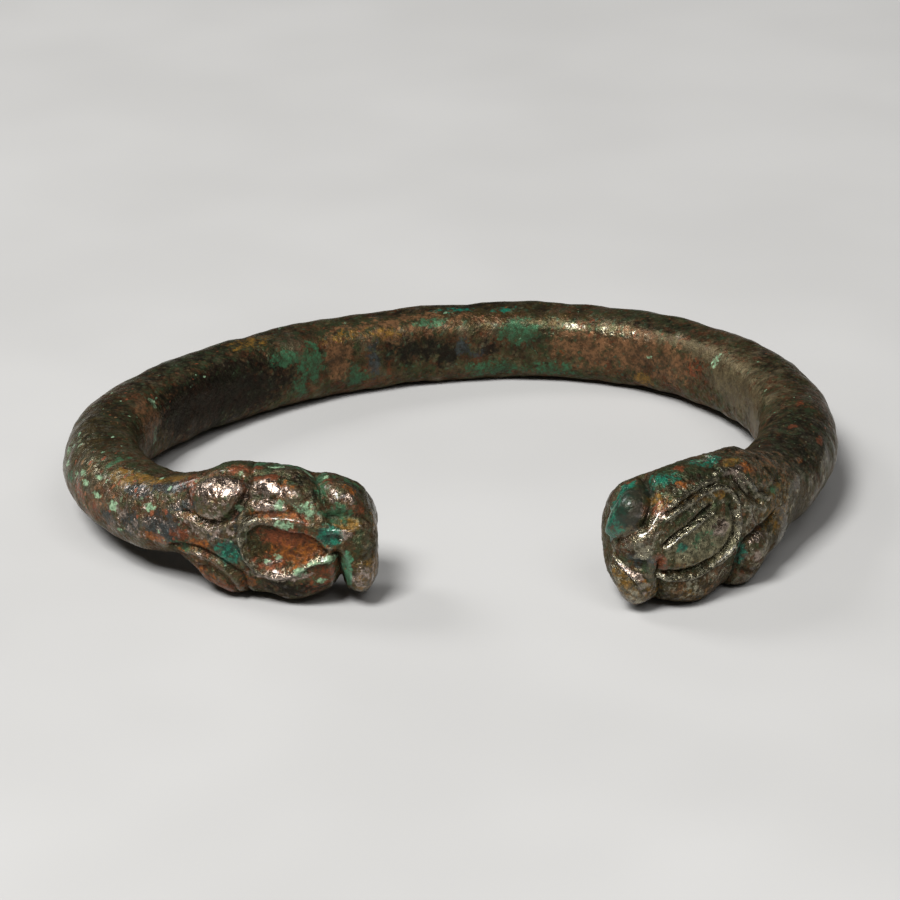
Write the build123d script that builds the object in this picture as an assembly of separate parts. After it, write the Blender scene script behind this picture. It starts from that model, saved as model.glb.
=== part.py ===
from build123d import *
import math
import os

# An open hoop bracelet, cast in one piece, that ends in two animal heads facing each other.
# It lies as it would on a table, on the undersides of both heads and on the back of the hoop.
# Millimetres, +Z up, origin under the middle of its box, the gap between the heads towards -Y.

# Driving sizes
hoop_width = 75.0            # over the two sides of the hoop, outer edge to outer edge
hoop_outward = 3.75          # from the hoop's centre line to its rounded outer face
hoop_inward = 3.75           # from the centre line to the flattened inner face
hoop_height = 7.4            # the hoop's thickness along the arm
inner_squareness = 3.0       # exponent of the inner face's curve: 2 is round, more is flatter
head_squareness = 2.3        # the same for the whole section of a head

left_head_length = 16.4      # along its centre line, from the end face to the neck
right_head_length = 15.6
head_above = 6.0             # plain form of a head, from its centre line to the top
head_below = 6.0             # from the centre line to the underside
head_outward = 4.75          # from the centre line to the face that looks outwards
head_inward = 4.05           # from the centre line to the wrist side
end_rounding = 0.9           # radius round the edge of a head's end face
relief_height = 1.0          # the relief tables below hold shares of this height
line_width = 1.0             # and their line widths are shares of this width

sides_outward = 38           # facets round the outward half of a section, where the relief is
sides_inward = 14            # facets round the wrist half
head_rows = 38               # sections along a head
rounding_rows = 3            # sections within the rounding of an end face
hoop_samples = 90            # sections of the plain hoop that are looked at to find how it rests

# Plan of the hoop's centre line from the left neck to the right one, seen from above, clockwise.
# The radii are shares of the centre line's width.
hoop_arcs = [
    # stretch, radius, turn in degrees
    ("left front", 0.250, 46.7),
    ("left side", 0.329, 50.8),
    ("back", 0.665, 55.0),
    ("right side", 0.391, 76.6),
    ("right front", 0.464, 56.0),
]
left_head_radius = 0.586     # the heads go on bending, with these radii as shares of the same width
right_head_radius = 0.402
neck_blend = 0.45            # share of a head's length over which its section takes the hoop's shape
back_left_turn = 51.5        # degrees of the back arc that lie left of the stretch parallel to X

# How far a section of a head has grown from the hoop's size, 0, to the head's full size, 1.
# The station is a share of the head's length, from 0 at the end face to 1 at the neck.
left_sections = [
    # station, above, below, outward, inward
    (0.00, -0.60, -0.10, 0.00, -0.20),
    (0.03, -0.25, 0.26, 0.20, 0.00),
    (0.07, 0.20, 0.46, 0.38, 0.20),
    (0.15, 0.52, 0.44, 0.62, 0.50),
    (0.24, 0.80, 0.42, 0.82, 0.80),
    (0.37, 0.85, 0.66, 1.00, 1.00),
    (0.46, 0.98, 0.78, 1.00, 1.00),
    (0.62, 1.02, 0.84, 0.95, 1.00),
    (0.75, 1.02, 0.86, 0.80, 0.90),
    (0.85, 0.94, 0.58, 0.50, 0.60),
    (0.92, 0.72, 0.46, 0.28, 0.35),
    (1.00, 0.40, 0.10, 0.08, 0.12),
    (1.04, 0.22, -0.16, 0.03, 0.05),
    (1.09, 0.08, -0.20, 0.00, 0.00),
    (1.22, 0.00, 0.00, 0.00, 0.00),
]
right_sections = [
    (0.00, 0.04, 0.30, 0.00, -0.20),
    (0.05, 0.50, 0.66, 0.30, 0.10),
    (0.13, 0.68, 0.88, 0.60, 0.50),
    (0.23, 0.88, 0.84, 0.82, 0.80),
    (0.34, 0.97, 0.84, 1.00, 1.00),
    (0.45, 1.02, 1.00, 1.00, 1.00),
    (0.57, 1.08, 0.94, 1.00, 1.00),
    (0.70, 1.08, 0.98, 0.85, 0.90),
    (0.80, 1.05, 0.92, 0.60, 0.65),
    (0.89, 0.98, 0.66, 0.38, 0.40),
    (1.00, 0.76, 0.36, 0.16, 0.18),
    (1.08, 0.60, 0.10, 0.06, 0.06),
    (1.15, 0.34, -0.12, 0.02, 0.00),
    (1.22, 0.08, -0.05, 0.00, 0.00),
    (1.30, 0.00, 0.00, 0.00, 0.00),
]

# Relief of the heads. The angle goes round the section in degrees, 0 outwards and 90 up, and the
# half width is in degrees too. The half length is a share of the head's length.
left_bosses = [
    # feature, station, angle, half length, half width, height
    ("upper ear", 0.81, 60, 0.19, 38, 0.70),
    ("upper cheek", 0.44, 68, 0.24, 46, 0.55),
    ("brow", 0.53, 57, 0.10, 15, 0.28),
    ("eye", 0.56, 38, 0.10, 10, 0.22),
    ("neck hollow", 0.71, -2, 0.06, 11, -0.30),
    ("lower cheek", 0.41, -56, 0.22, 38, 0.65),
    ("lower ear", 0.79, -50, 0.19, 36, 0.55),
    ("muzzle above", 0.11, 58, 0.13, 34, 0.50),
    ("muzzle below", 0.05, -36, 0.11, 28, 0.50),
    ("nose hollow", 0.07, 20, 0.09, 13, -0.25),
]
right_bosses = [
    ("upper ear", 0.79, 58, 0.18, 28, 0.55),
    ("upper cheek", 0.42, 80, 0.27, 40, 0.45),
    ("tongue boss", 0.47, 15, 0.15, 14, 0.42),
    ("lower cheek", 0.38, -52, 0.23, 34, 0.60),
    ("lower ear", 0.79, -26, 0.15, 24, 0.60),
    ("muzzle above", 0.04, 62, 0.14, 34, 0.50),
    ("muzzle below", 0.06, -42, 0.13, 28, 0.55),
    ("nose hollow", 0.08, -10, 0.06, 10, -0.35),
]
# The sunk field of the tongue: its end towards the muzzle, its round end, and its edges.
left_field = [
    # station, lower edge, upper edge in degrees
    (0.20, 0, 8),
    (0.30, -7, 16),
    (0.43, -15, 19),
    (0.55, -19, 18),
    (0.62, -12, 12),
]
right_field = [
    (0.19, -12, 14),
    (0.31, -12, 24),
    (0.45, -8, 34),
    (0.54, 0, 38),
    (0.61, 10, 30),
]
field_depth = 0.42           # share of the relief's height

# Ridges and, with a height below 0, grooves and creases.
left_lines = [
    # feature, half width, height, points as station and angle
    ("ear crease", 0.70, -0.50, [(0.98, 27), (0.84, 22), (0.71, 28), (0.65, 50), (0.65, 78), (0.67, 103)]),
    ("muzzle groove above", 0.90, -0.50, [(0.32, 100), (0.28, 70), (0.23, 42), (0.19, 22)]),
    ("muzzle groove below", 0.80, -0.75, [(0.14, -12), (0.14, -34), (0.17, -60), (0.20, -100)]),
    ("cheek crease", 0.65, -0.30, [(0.63, 27), (0.46, 29), (0.31, 28), (0.22, 26)]),
    ("tongue rim above", 0.70, 0.30, [(0.21, 16), (0.38, 22), (0.54, 23), (0.64, 14), (0.66, 2)]),
    ("tongue rim below", 0.70, 0.36, [(0.66, 2), (0.61, -15), (0.52, -24), (0.34, -13), (0.20, -4)]),
    ("lower ear crease", 0.65, -0.32, [(0.97, -12), (0.84, -9), (0.73, -14), (0.64, -24), (0.64, -45), (0.66, -90)]),
    ("lower ear rim", 0.55, 0.22, [(0.97, -22), (0.84, -20), (0.75, -27), (0.68, -38)]),
]
right_lines = [
    ("ear crease", 0.70, -0.32, [(1.10, 50), (1.00, 38), (0.83, 32), (0.70, 40), (0.66, 56), (0.65, 80)]),
    ("muzzle groove above", 0.75, -0.50, [(0.18, 100), (0.16, 68), (0.15, 50), (0.11, 36), (0.02, 27)]),
    ("muzzle groove below", 0.75, -0.60, [(0.16, -12), (0.17, -30), (0.20, -50), (0.20, -95)]),
    ("nose bridge", 1.00, 0.32, [(0.01, 15), (0.11, 24), (0.19, 34)]),
    ("nostril ridge", 0.60, 0.28, [(0.00, -3), (0.03, -12), (0.07, -22)]),
    ("outer ridge", 0.60, 0.28, [(0.27, 47), (0.36, 55), (0.47, 60)]),
    ("tongue rim above", 0.65, 0.38, [(0.25, 31), (0.34, 39), (0.47, 48), (0.57, 51), (0.63, 42), (0.65, 24)]),
    ("tongue rim below", 0.65, 0.40, [(0.65, 24), (0.62, 4), (0.52, -13), (0.38, -20), (0.19, -22)]),
    ("tongue crease", 0.55, -0.25, [(0.21, 19), (0.34, 29), (0.47, 38)]),
    ("lower ear crease", 0.65, -0.42, [(0.92, 10), (0.75, 2), (0.66, -12), (0.65, -32), (0.66, -60)]),
]

hoop_above = hoop_height / 2
centre_width = hoop_width - 2 * hoop_outward
left_head_turn = left_head_length / (left_head_radius * centre_width)
right_head_turn = right_head_length / (right_head_radius * centre_width)


def lay_out_arcs():
    """Each arc of the centre line with its start: distance, place, heading, radius and turn."""
    turns = [math.radians(turn) for _, _, turn in hoop_arcs]
    radii = [radius * centre_width for _, radius, _ in hoop_arcs]
    turns = [left_head_turn] + turns + [right_head_turn]
    radii = [left_head_radius * centre_width] + radii + [right_head_radius * centre_width]
    heading = turns[0] + turns[1] + turns[2] + math.radians(back_left_turn)
    start = x = y = 0.0
    laid = []
    for radius, turn in zip(radii, turns):
        laid.append((start, x, y, heading, radius, turn))
        x += radius * (math.sin(heading) - math.sin(heading - turn))
        y += radius * (math.cos(heading - turn) - math.cos(heading))
        heading -= turn
        start += radius * turn
    return laid, start


arcs, route_length = lay_out_arcs()


def route(distance):
    """Place and heading on the centre line at a distance from the left end face."""
    start, x, y, heading, radius, _ = [arc for arc in arcs if arc[0] <= distance + 1e-9][-1]
    turn = (distance - start) / radius
    x += radius * (math.sin(heading) - math.sin(heading - turn))
    y += radius * (math.cos(heading - turn) - math.cos(heading))
    return x, y, heading - turn


def read_table(rows, station, column):
    """A column of a table at a station, eased from row to row."""
    if station <= rows[0][0]:
        return rows[0][column]
    if station >= rows[-1][0]:
        return rows[-1][column]
    for low, high in zip(rows, rows[1:]):
        if station <= high[0]:
            share = (station - low[0]) / (high[0] - low[0])
            return low[column] + (high[column] - low[column]) * share


def bump(distance):
    """A round swelling: 1 in the middle, 0 at a distance of 1 and beyond."""
    if distance >= 1:
        return 0.0
    return (1 - distance * distance) ** 2


def distance_to_line(across, along, points):
    """Distance from a point to a chain of straight runs on the unrolled surface."""
    nearest = None
    for (x0, y0), (x1, y1) in zip(points, points[1:]):
        length = (x1 - x0) ** 2 + (y1 - y0) ** 2
        share = ((across - x0) * (x1 - x0) + (along - y0) * (y1 - y0)) / length
        share = min(1, max(0, share))
        gap = math.hypot(across - x0 - share * (x1 - x0), along - y0 - share * (y1 - y0))
        nearest = gap if nearest is None else min(nearest, gap)
    return nearest


def field_sink(rows, station, angle):
    """How deep the tongue's field is at a place, 0 outside it and 1 in its middle."""
    first, last = rows[0][0], rows[-1][0]
    if not first < station < last:
        return 0.0
    low, high = read_table(rows, station, 1), read_table(rows, station, 2)
    across = 2 * (angle - low) / (high - low) - 1
    along = 2 * (station - first) / (last - first) - 1
    return max(0, 1 - across ** 4) * max(0, 1 - along ** 8)


def relief(station, angle, length, bosses, lines, field):
    """Height of the relief above a head's plain form."""
    arm = math.radians(1) * (head_above + head_outward) / 2
    height = -field_depth * field_sink(field, station, angle)
    for _, boss_station, boss_angle, half_length, half_width, boss_height in bosses:
        along = (station - boss_station) / half_length
        across = (angle - boss_angle) / half_width
        height += boss_height * bump(math.hypot(along, across))
    for _, half_width, line_height, points in lines:
        unrolled = [(s * length, a * arm) for s, a in points]
        gap = distance_to_line(station * length, angle * arm, unrolled)
        height += line_height * bump(gap / (half_width * line_width))
    return height * relief_height


def section_point(station, angle, head):
    """Outward and upward place of a point of the section, from the centre line."""
    length, sections, bosses, lines, field = head
    neck = sections[-1][0]
    above, below, outward, inward = [read_table(sections, station, k) for k in (1, 2, 3, 4)]
    cos, sin = math.cos(math.radians(angle)), math.sin(math.radians(angle))
    half_up = hoop_above + above * (head_above - hoop_above)
    half_down = hoop_above + below * (head_below - hoop_above)
    half_out = hoop_outward + outward * (head_outward - hoop_outward)
    half_in = hoop_inward + inward * (head_inward - hoop_inward)
    hoop_power = 2 if cos > 0 else inner_squareness
    headness = min(1, max(0, (neck - station) / neck_blend))
    power = hoop_power + headness * (head_squareness - hoop_power)
    reach = (abs(cos) ** power + abs(sin) ** power) ** (-1 / power)
    across = reach * cos * (half_out if cos > 0 else half_in)
    up = reach * sin * (half_up if sin > 0 else half_down)
    size = math.hypot(across, up)
    grown = size
    if station < neck:
        grown += relief(station, angle, length, bosses, lines, field)
    edge = end_rounding - station * length
    if edge > 0:
        grown -= end_rounding - math.sqrt(max(0, end_rounding ** 2 - edge ** 2))
    return across * grown / size, up * grown / size


left_head = (left_head_length, left_sections, left_bosses, left_lines, left_field)
right_head = (right_head_length, right_sections, right_bosses, right_lines, right_field)


def section_ring(distance):
    """The points of one section, from the underside of the outer face upwards and round."""
    x, y, heading = route(distance)
    on_left = distance < route_length / 2
    head = left_head if on_left else right_head
    station = (distance if on_left else route_length - distance) / head[0]
    outward = [-90 + 180 * k / sides_outward for k in range(sides_outward)]
    inward = [90 + 180 * k / sides_inward for k in range(sides_inward)]
    ring = []
    for angle in outward + inward:
        turned = angle if angle <= 180 else angle - 360
        across, up = section_point(station, turned, head)
        ring.append((x - across * math.sin(heading), y + across * math.cos(heading), up))
    return ring


def head_stations(head):
    """Distances of a head's sections from its end face, with the rounded edge first."""
    neck = neck_distance(head)
    rounding = [end_rounding * (1 - math.cos(math.pi / 2 * k / rounding_rows)) for k in range(rounding_rows)]
    return rounding + [end_rounding + (neck - end_rounding) * k / head_rows for k in range(head_rows + 1)]


def neck_distance(head):
    """Distance from a head's end face to where the plain hoop starts."""
    length, sections = head[:2]
    return length * sections[-1][0]


def triangle(a, b, c):
    """One flat facet."""
    return Face(Wire.make_polygon([Vector(*a), Vector(*b), Vector(*c)], close=True))


def head_faces(rings):
    """Facets of a head from its end face, which a fan closes, to its neck."""
    faces = []
    for near, far in zip(rings, rings[1:]):
        for k in range(len(near)):
            n = (k + 1) % len(near)
            faces.append(triangle(near[k], near[n], far[n]))
            faces.append(triangle(near[k], far[n], far[k]))
    end = rings[0]
    centre = tuple(sum(p[k] for p in end) / len(end) for k in range(3))
    for k in range(len(end)):
        faces.append(triangle(centre, end[(k + 1) % len(end)], end[k]))
    return faces


def crosses_route(face, distance):
    """Whether a face lies in the hoop's section at a distance along the centre line."""
    x, y, heading = route(distance)
    ahead = [(v.X - x) * math.cos(heading) + (v.Y - y) * math.sin(heading) for v in face.vertices()]
    return max(abs(a) for a in ahead) < 1e-6


def hoop_faces(low, high):
    """Faces of the plain hoop between two distances: its section swung round each arc."""
    faces = []
    for start, x, y, heading, radius, turn in arcs:
        first, last = max(start, low), min(start + radius * turn, high)
        if last - first < 1e-6:
            continue
        centre = (x + radius * math.sin(heading), y - radius * math.cos(heading), 0)
        section = Face(Wire.make_polygon([Vector(*p) for p in section_ring(first)], close=True))
        swung = Solid.revolve(section, math.degrees((last - first) / radius), Axis(centre, (0, 0, -1)))
        faces += [f for f in swung.faces() if not crosses_route(f, first) and not crosses_route(f, last)]
    return faces


def rest_angle(points):
    """How far the bracelet tips back, in radians, until its front and its back both touch the table."""
    front = [p for p in points if p[1] < 0]
    back = [p for p in points if p[1] >= 0]
    tip = 0.0
    for _ in range(20):
        cos, sin = math.cos(tip), math.sin(tip)
        low_front = min(front, key=lambda p: p[2] * cos - p[1] * sin)
        low_back = min(back, key=lambda p: p[2] * cos - p[1] * sin)
        tip = math.atan2(low_back[2] - low_front[2], low_back[1] - low_front[1])
    return tip


left_neck = neck_distance(left_head)
right_neck = route_length - neck_distance(right_head)
left_rings = [section_ring(d) for d in head_stations(left_head)]
right_rings = [section_ring(route_length - d) for d in head_stations(right_head)]
plain_rings = [section_ring(left_neck + (right_neck - left_neck) * k / hoop_samples) for k in range(hoop_samples)]
faces = head_faces(left_rings) + hoop_faces(left_neck, right_neck) + head_faces(right_rings)
bracelet = Solid(Shell(faces))

middle = (min(p[1] for ring in plain_rings for p in ring) + max(p[1] for ring in plain_rings for p in ring)) / 2
points = [(x, y - middle, z) for ring in left_rings + plain_rings + right_rings for x, y, z in ring]
tip = rest_angle(points)
bracelet = bracelet.rotate(Axis.X, -math.degrees(tip))
box = bracelet.bounding_box()
bracelet = bracelet.translate(Vector(-box.center().X, -box.center().Y, -box.min.Z))

print("faces", len(faces), "volume", round(bracelet.volume, 1), "valid", bracelet.is_valid)
print("tipped back", round(math.degrees(tip), 2), "degrees, size", box.size)
print("gap", round(math.dist(left_rings[0][sides_outward // 2], right_rings[0][sides_outward // 2]), 1))
os.makedirs("parts", exist_ok=True)
export_step(bracelet, "parts/bracelet.step")
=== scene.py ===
import bpy
import math
import numpy as np
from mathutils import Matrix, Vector


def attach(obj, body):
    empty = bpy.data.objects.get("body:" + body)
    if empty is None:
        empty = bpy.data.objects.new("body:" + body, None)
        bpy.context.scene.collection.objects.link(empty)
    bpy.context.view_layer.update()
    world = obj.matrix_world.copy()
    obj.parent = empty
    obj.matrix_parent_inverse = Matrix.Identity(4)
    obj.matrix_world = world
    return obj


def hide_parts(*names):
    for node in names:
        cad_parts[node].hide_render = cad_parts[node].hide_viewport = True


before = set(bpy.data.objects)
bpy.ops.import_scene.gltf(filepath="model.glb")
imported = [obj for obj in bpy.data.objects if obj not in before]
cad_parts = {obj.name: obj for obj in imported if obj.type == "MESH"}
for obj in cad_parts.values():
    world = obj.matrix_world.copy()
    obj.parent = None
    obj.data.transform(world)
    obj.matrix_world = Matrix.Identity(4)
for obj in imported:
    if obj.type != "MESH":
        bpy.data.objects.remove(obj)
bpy.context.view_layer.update()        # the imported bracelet, tipped back as it lies
print("frame loaded")

mm = 0.001               # the tables below are in millimetres, degrees and shares

# The hoop, to the same sizes as the solid that it replaces
hoop = {
    "width": 75.0,              # outer edge to outer edge
    "outward": 3.75,            # centre line to the rounded outer face
    "inward": 3.75,             # centre line to the flattened wrist side
    "height": 7.4,
    "wristSquareness": 3.0,     # power of the section's curve, 2 is an ellipse
    "headSquareness": 2.3,
    "neckBlend": 0.45,          # share of a head over which the section changes
    "tipBack": 2.43,            # degrees it leans back, resting on heads and hoop
    "startTurn": 51.5,          # heading at the middle of the back
    "shift": (-10.086, -23.078, 5.891),      # from the left end face, tipped back, to the frame's origin
    "ringSides": 48,            # vertices of the first circle, before subdivision
    "outwardCrowding": 0.34,    # pulls vertices towards the outer face
    "endRings": 3,              # rings of faces on each end face, and their width as a share of "outward"
    "endRingWidth": 0.24,
    "weld": 0.01,               # vertices closer than this are one
    "pressed": 0.25,            # height over the floor within which the surface has worn flat
    "arcs": [
        # stretch, radius as a share of the centre line's width, turn, steps of the spin
        ("leftHead", 0.586, None, 34),
        ("leftFront", 0.250, 46.7, 8),
        ("leftSide", 0.329, 50.8, 7),
        ("back", 0.665, 55.0, 14),
        ("rightSide", 0.391, 76.6, 11),
        ("rightFront", 0.464, 56.0, 11),
        ("rightHead", 0.402, None, 33),
    ],
}
centreWidth = hoop["width"] - 2 * hoop["outward"]

# Growth of a head's plain section from the hoop's size, 0, to the full head, 1, and the carving on it.
# A station is a share of the head's length from its end face. Angles go round from outwards, 90 is up.
fullHead = {
    "above": 6.0,
    "below": 6.0,
    "outward": 4.75,
    "inward": 4.05,
    "neckFade": 1.2,            # the carving sinks into the hoop over this length
    "endFade": 1.4,             # and into the middle of the end face, more steeply the higher this is
}
leftHead = {
    "length": 16.4,
    "endRounding": 1.1,
    "polished": ["upper ear", "brow", "brow tail"],      # masses that wear has left smooth
    "growth": [
        # station, above, below, outward, inward
        (0, -0.75, 0, 0, -0.2),
        (0.03, -0.28, 0.34, 0.2, 0),
        (0.07, 0.24, 0.54, 0.38, 0.2),
        (0.15, 0.66, 0.48, 0.62, 0.5),
        (0.24, 0.9, 0.42, 0.82, 0.8),
        (0.37, 0.97, 0.66, 1, 1),
        (0.46, 1.08, 0.78, 1, 1),
        (0.62, 1.1, 0.84, 0.95, 1),
        (0.75, 1.08, 0.86, 0.8, 0.9),
        (0.85, 0.98, 0.58, 0.5, 0.6),
        (0.92, 0.78, 0.44, 0.28, 0.35),
        (1, 0.54, 0, 0.08, 0.12),
        (1.05, 0.38, -0.32, 0.02, 0.05),
        (1.11, 0.26, -0.44, 0, 0),
        (1.2, 0.12, -0.32, 0, 0),
        (1.32, 0.03, -0.13, 0, 0),
        (1.48, 0, 0, 0, 0),
    ],
    "masses": [
        # name, station, angle, half length, half width in degrees, height
        ("upper ear", 0.84, 43, 0.18, 27, 0.5),
        ("ear back", 0.85, 92, 0.17, 24, 0.26),
        ("upper cheek", 0.44, 68, 0.24, 46, 0.5),
        ("brow", 0.57, 56, 0.11, 16, 0.5),
        ("brow tail", 0.43, 50, 0.1, 14, 0.4),
        ("eye", 0.56, 38, 0.11, 10, 0.34),
        ("neck hollow", 0.74, -4, 0.08, 12, -0.34),
        ("lower cheek", 0.41, -50, 0.23, 34, 0.72),
        ("lower ear", 0.79, -46, 0.19, 32, 0.55),
        ("muzzle above", 0.17, 60, 0.13, 28, 0.64),
        ("muzzle below", 0.08, -36, 0.09, 36, 0.7),
        ("lip", 0.07, 6, 0.07, 18, 0.16),
        ("nostril", 0.185, 14, 0.03, 5, -0.28),
        ("nose hollow", 0.16, 30, 0.09, 9, -0.3),
        ("tongue tip hollow", 0.25, 12, 0.06, 9, -0.25),
    ],
    "islands": [
        # name, height, width of its edge, outline as station and angle
        ("tongue field", -0.62, 0.8, [(0.645, 15), (0.65, 6), (0.635, -6), (0.59, -17), (0.53, -21),
            (0.45, -19), (0.38, -12), (0.31, -6), (0.24, 0), (0.3, 12), (0.37, 17), (0.45, 18), (0.52, 22),
            (0.59, 22)]),
        ("ear", 0.42, 1.2, [(1, 52), (0.96, 37), (0.92, 25), (0.85, 22), (0.79, 24), (0.74, 29), (0.71, 37),
            (0.69, 48), (0.7, 58), (0.76, 63), (0.84, 64), (0.93, 62)]),
    ],
    "lines": [
        # name, half width, height, points as station and angle
        ("ear crease", 0.5, -0.44, [(1.03, 29), (0.96, 26), (0.91, 20), (0.85, 18), (0.79, 20), (0.73, 26),
            (0.695, 35), (0.675, 48), (0.675, 60), (0.69, 78), (0.71, 108)]),
        ("ear top crease", 0.6, -0.34, [(1.04, 58), (0.97, 66), (0.88, 69), (0.8, 69), (0.71, 64)]),
        ("ear lip", 0.55, 0.16, [(1, 18), (0.9, 13), (0.82, 13), (0.74, 21)]),
        ("brow valley", 0.5, -0.24, [(0.67, 44), (0.61, 46), (0.55, 44), (0.48, 41), (0.42, 37),
            (0.36, 36)]),
        ("brow split", 0.4, -0.22, [(0.5, 68), (0.49, 60), (0.48, 48)]),
        ("brow top crease", 0.5, -0.18, [(0.66, 70), (0.58, 72), (0.51, 71), (0.46, 66)]),
        ("cheek crease", 0.6, -0.28, [(0.66, 26), (0.62, 29), (0.57, 32), (0.51, 33), (0.41, 34),
            (0.32, 31)]),
        ("cheek ridge", 0.62, 0.16, [(0.62, 23), (0.58, 26), (0.51, 27), (0.42, 26), (0.33, 24)]),
        ("muzzle groove", 1.1, -0.62, [(0.36, 112), (0.34, 90), (0.31, 70), (0.28, 54), (0.26, 44),
            (0.23, 33)]),
        ("muzzle base", 0.55, -0.26, [(0.24, 34), (0.18, 37), (0.12, 40), (0.05, 46)]),
        ("lip ridge", 0.42, 0.14, [(0.24, 19), (0.18, 21), (0.13, 24), (0.08, 30)]),
        ("notch", 0.8, -1.2, [(0.2, -4), (0.185, -13), (0.18, -28), (0.185, -46), (0.2, -66),
            (0.21, -100)]),
        ("field rim", 0.36, 0.34, [(0.6, 26), (0.655, 22), (0.685, 13), (0.685, 3), (0.665, -9),
            (0.61, -22), (0.565, -25.5)]),
        ("field lip", 0.5, 0.36, [(0.54, -27), (0.46, -25), (0.38, -19), (0.31, -12), (0.22, -7)]),
        ("lower ear crease", 0.55, -0.36, [(1.08, -26), (1, -14), (0.94, -11), (0.86, -14), (0.8, -17),
            (0.75, -22), (0.69, -28), (0.68, -45), (0.67, -90)]),
        ("lower ear rim", 0.4, 0.15, [(1.04, -30), (0.97, -19), (0.88, -20), (0.81, -23), (0.75, -29),
            (0.71, -38)]),
        ("lower ear fold", 0.4, -0.22, [(0.93, -36), (0.86, -29), (0.81, -31), (0.75, -40), (0.72, -56)]),
        ("lower cheek facet", 0.6, -0.1, [(0.54, -38), (0.48, -40), (0.42, -38), (0.36, -32)]),
    ],
}
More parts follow.
